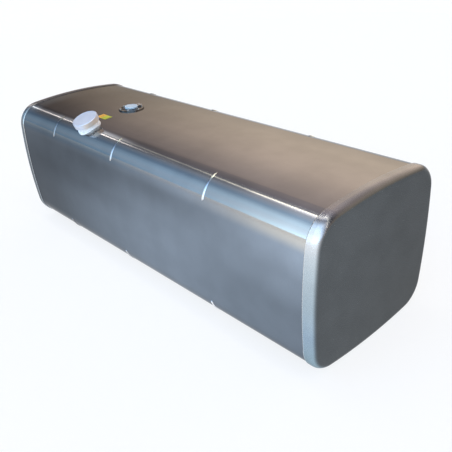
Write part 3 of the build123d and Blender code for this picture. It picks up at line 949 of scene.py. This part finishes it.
    def finish(self, piece: bpy.types.Object) -> None:
        """Merges doubled points, turns every face outwards and smooths the shading.

        Args:
            piece: the piece that is finished; not used, as the operators work on the active object.
        """
        bpy.ops.object.mode_set(mode="EDIT")
        bpy.ops.mesh.select_all(action="SELECT")
        bpy.ops.mesh.remove_doubles(threshold=self.merge)
        bpy.ops.mesh.normals_make_consistent(inside=False)
        bpy.ops.object.mode_set(mode="OBJECT")
        bpy.ops.object.shade_smooth_by_angle(angle=math.radians(self.crease))


@dataclass(frozen=True)
class StripLine:
    """A long thin strip of light overhead, whose reflection draws a line along the tank's corner.

    A reach is how far a direction points towards -X, from 0 to 1.

    Attributes:
        start: the reach where it begins to lean.
        start_place: its place there between the horizons, from behind the tank (0) to the filler side (1).
        end: the reach where it has leant over.
        end_place: its place there.
        half: half of its width.
        colour: how bright it is.
        fall: pairs of a reach and the share of its brightness there.
    """

    start: float
    start_place: float
    end: float
    end_place: float
    half: float
    colour: Colour
    fall: Stops


@dataclass
class Studio:
    """The floor, the surroundings that light the metal and are mirrored in it, and the camera.

    Attributes:
        floor_colour: the floor's colour.
        floor_glow: how much of what the camera and the metal see of the floor is its plain white.
        floor_radius: how far the flat floor reaches, in metres.
        floor_sides: points round it.
        rim_radius: where its swept-up rim ends.
        rim_height: how high the rim rises.
        rim_steps: rings of the rim.
        sky: colours of the surroundings from the horizon behind the tank (0) to that on the filler side (1).
        back_fall: how bright they are by reach towards -X, behind the tank.
        front_fall: the same on the filler side.
        back_to_front: places between the horizons between which the second takes over.
        lines: the strips of light in them.
        haze_fall: how bright the haze at the horizon is, by reach towards -X.
        haze_top: heights of a direction between which the haze gives way to the sky.
        camera_place: where the camera stands, in metres.
        camera_turn: how it is turned, in degrees.
        camera_lens: its focal length, in millimetres.
        camera_sensor: its sensor's width, in millimetres.
        camera_shift: how far its frame is shifted, across and up.
    """

    floor_colour: Colour = (0.93, 0.93, 0.93)
    floor_glow: float = 0.8
    floor_radius: float = 7.5
    floor_sides: int = 96
    rim_radius: float = 10.0
    rim_height: float = 1.5
    rim_steps: int = 8
    sky: ColourStops = (
        (0.00, (0.62, 0.55, 0.47)),
        (0.09, (1.36, 1.12, 0.89)),
        (0.18, (1.19, 0.96, 0.80)),
        (0.25, (0.57, 0.475, 0.465)),
        (0.33, (0.49, 0.44, 0.46)),
        (0.40, (0.42, 0.38, 0.43)),
        (0.46, (0.475, 0.483, 0.55)),
        (0.55, (0.66, 0.74, 0.90)),
        (0.66, (0.48, 0.75, 1.135)),
        (0.76, (0.975, 1.45, 2.00)),
        (0.86, (1.135, 1.54, 2.03)),
        (1.00, (1.33, 1.88, 2.32)),
    )
    back_fall: Stops = ((0.50, 1.02), (0.60, 0.95), (0.66, 0.92), (0.75, 0.72), (0.80, 0.60), (0.85, 0.55),
                        (0.885, 0.38), (0.95, 0.42))
    front_fall: Stops = ((0.50, 1.30), (0.585, 1.18), (0.66, 0.73), (0.75, 0.54), (0.81, 0.48), (0.85, 0.42),
                         (0.885, 0.44), (0.95, 0.60))
    back_to_front: Span = (0.42, 0.52)
    lines: tuple[StripLine, ...] = (
        StripLine(start=0.656, start_place=0.491, end=0.82, end_place=0.432, half=0.0105,
                  colour=(9.5, 9.0, 7.4),
                  fall=((0.30, 1.0), (0.60, 1.0), (0.66, 0.45), (0.74, 0.13), (0.82, 0.13), (0.86, 0.06),
                        (0.89, 0.0))),
        StripLine(start=0.82, start_place=0.504, end=0.90, end_place=0.426, half=0.010,
                  colour=(8.0, 7.2, 6.8),
                  fall=((0.76, 0.0), (0.80, 0.15), (0.84, 1.5), (0.86, 1.5), (0.885, 1.1), (0.92, 1.0))),
        StripLine(start=0.55, start_place=0.520, end=0.70, end_place=0.500, half=0.035,
                  colour=(1.1, 1.1, 1.2), fall=((0.30, 1.0), (0.60, 1.0), (0.66, 0.3), (0.70, 0.0))),
        StripLine(start=0.85, start_place=0.405, end=0.90, end_place=0.430, half=0.100,
                  colour=(0.80, 0.82, 0.88),
                  fall=((0.80, 0.0), (0.83, 1.0), (0.86, 1.0), (0.88, 0.75), (0.95, 0.75))),
    )
    haze_fall: Stops = ((0.50, 1.9), (0.60, 1.7), (0.68, 1.2), (0.75, 0.95), (0.85, 0.8), (0.95, 0.8))
    haze_top: Span = (0.035, 0.10)
    camera_place: Triple = (1.8335, -1.4049, 1.3304)
    camera_turn: Triple = (59.195, 2.451, 45.694)
    camera_lens: float = 44.25
    camera_sensor: float = 36.0
    camera_shift: tuple[float, float] = (-0.0444, 0.0662)

    def build(self) -> None:
        """Builds the floor, the surroundings and the camera."""
        self.build_floor()
        self.build_world()
        self.build_camera()

    def build_floor(self) -> None:
        """Models a pale round floor with a low swept-up rim."""
        bpy.ops.object.select_all(action="DESELECT")
        bpy.ops.mesh.primitive_circle_add(vertices=self.floor_sides, radius=self.floor_radius,
                                          fill_type="NGON", location=(0, 0, 0))
        floor = bpy.context.object
        floor.name = "floor"
        bpy.ops.object.mode_set(mode="EDIT")
        bpy.ops.mesh.select_all(action="SELECT")
        for step in range(1, self.rim_steps + 1):
            bpy.ops.mesh.extrude_region_move()
            radius, height = self.rim_point((step - 1) / self.rim_steps)
            next_radius, next_height = self.rim_point(step / self.rim_steps)
            ratio = next_radius / radius
            bpy.ops.transform.resize(value=(ratio, ratio, 1.0), center_override=(0, 0, 0))
            bpy.ops.transform.translate(value=(0, 0, next_height - height))
        bpy.ops.mesh.delete(type="ONLY_FACE")
        bpy.ops.mesh.select_all(action="DESELECT")
        bpy.ops.object.mode_set(mode="OBJECT")
        floor.data.materials.append(self.floor_paper())

    def floor_paper(self) -> bpy.types.Material:
        """The floor's material, which the camera and the metal see as nearly plain white.

        Returns:
            The new material.
        """
        material = bpy.data.materials.new("floor_paper")
        material.use_nodes = True
        graph = Graph(material.node_tree)
        paper = graph.add("BsdfDiffuse")
        graph.feed(paper.inputs["Color"], self.floor_colour)
        glow = graph.add("Emission")
        path = graph.add("LightPath").outputs
        seen = graph.math("MAXIMUM", path["Is Camera Ray"], path["Is Glossy Ray"])
        seen = graph.math("MAXIMUM", seen, path["Is Transmission Ray"])
        blend = graph.add("MixShader")
        graph.feed(blend.inputs[0], graph.times(seen, self.floor_glow))
        graph.feed(blend.inputs[1], paper.outputs[0])
        graph.feed(blend.inputs[2], glow.outputs[0])
        graph.feed(graph.add("OutputMaterial").inputs["Surface"], blend.outputs[0])
        return material

    def rim_point(self, share: float) -> tuple[float, float]:
        """The rim's radius and height at a share of its way outwards, from 0 to 1."""
        radius = self.floor_radius + (self.rim_radius - self.floor_radius) * share
        return radius, self.rim_height * share ** 2

    def build_world(self) -> None:
        """Makes soft surroundings: warm behind the tank, dark overhead, sky blue on the filler side."""
        world = bpy.data.worlds.new("surroundings")
        bpy.context.scene.world = world
        world.use_nodes = True
        graph = Graph(world.node_tree)
        split = graph.add("SeparateXYZ")
        graph.feed(split.inputs[0], graph.add("TexCoord").outputs["Generated"])
        x, y, z = split.outputs
        around = graph.math("DIVIDE", graph.math("ARCTAN2", z, y), math.pi)
        reach = graph.times(x, -1.0)
        level = graph.fade(graph.span(around, *self.back_to_front), graph.ramp(reach, self.back_fall),
                           graph.ramp(reach, self.front_fall))
        surround = graph.tint(graph.ramp(around, self.sky), level)
        for line in self.lines:
            surround = self.add_line(graph, surround, line, around, reach)
        surround = graph.fade(graph.span(z, *self.haze_top), graph.ramp(reach, self.haze_fall), surround)
        background = graph.add("Background")
        graph.feed(background.inputs["Color"], surround)
        graph.feed(graph.add("OutputWorld").inputs["Surface"], background.outputs[0])

    def add_line(self, graph: Graph, surround: Socket, line: StripLine, around: Socket,
                 reach: Socket) -> Socket:
        """Adds a strip of light to the surroundings.

        Args:
            graph: the world's nodes.
            surround: the surroundings so far.
            line: the strip.
            around: a direction's place between the horizons.
            reach: how far it points towards -X.

        Returns:
            The surroundings with the strip.
        """
        middle = graph.span(reach, line.start, line.end, line.start_place, line.end_place, linear=True)
        off = graph.math("ABSOLUTE", graph.math("SUBTRACT", around, middle))
        glint = graph.times(graph.span(off, 0.0, line.half, 1.0, 0.0), graph.ramp(reach, line.fall))
        return graph.mix(Blend.ADD, glint, surround, line.colour)

    def build_camera(self) -> None:
        """Places the camera that was fitted to the photograph's outline of the tank."""
        data = bpy.data.cameras.new("camera")
        data.sensor_width = self.camera_sensor
        data.lens = self.camera_lens
        data.shift_x, data.shift_y = self.camera_shift
        camera = bpy.data.objects.new("camera", data)
        camera.location = self.camera_place
        camera.rotation_euler = Euler([math.radians(angle) for angle in self.camera_turn])
        bpy.context.collection.objects.link(camera)
        bpy.context.scene.camera = camera


def main() -> None:
    """Builds the tank's looks and the studio, and reports each piece."""
    logging.basicConfig(level=logging.INFO)
    bpy.context.scene.view_settings.view_transform = "Standard"
    bpy.ops.object.select_all(action="DESELECT")
    finishes = Finishes()
    finishes.dress_frame()
    CornerBeads().build(finishes)
    Studio().build()
    LOG.info("studio built")


if __name__ == "__main__":
    main()
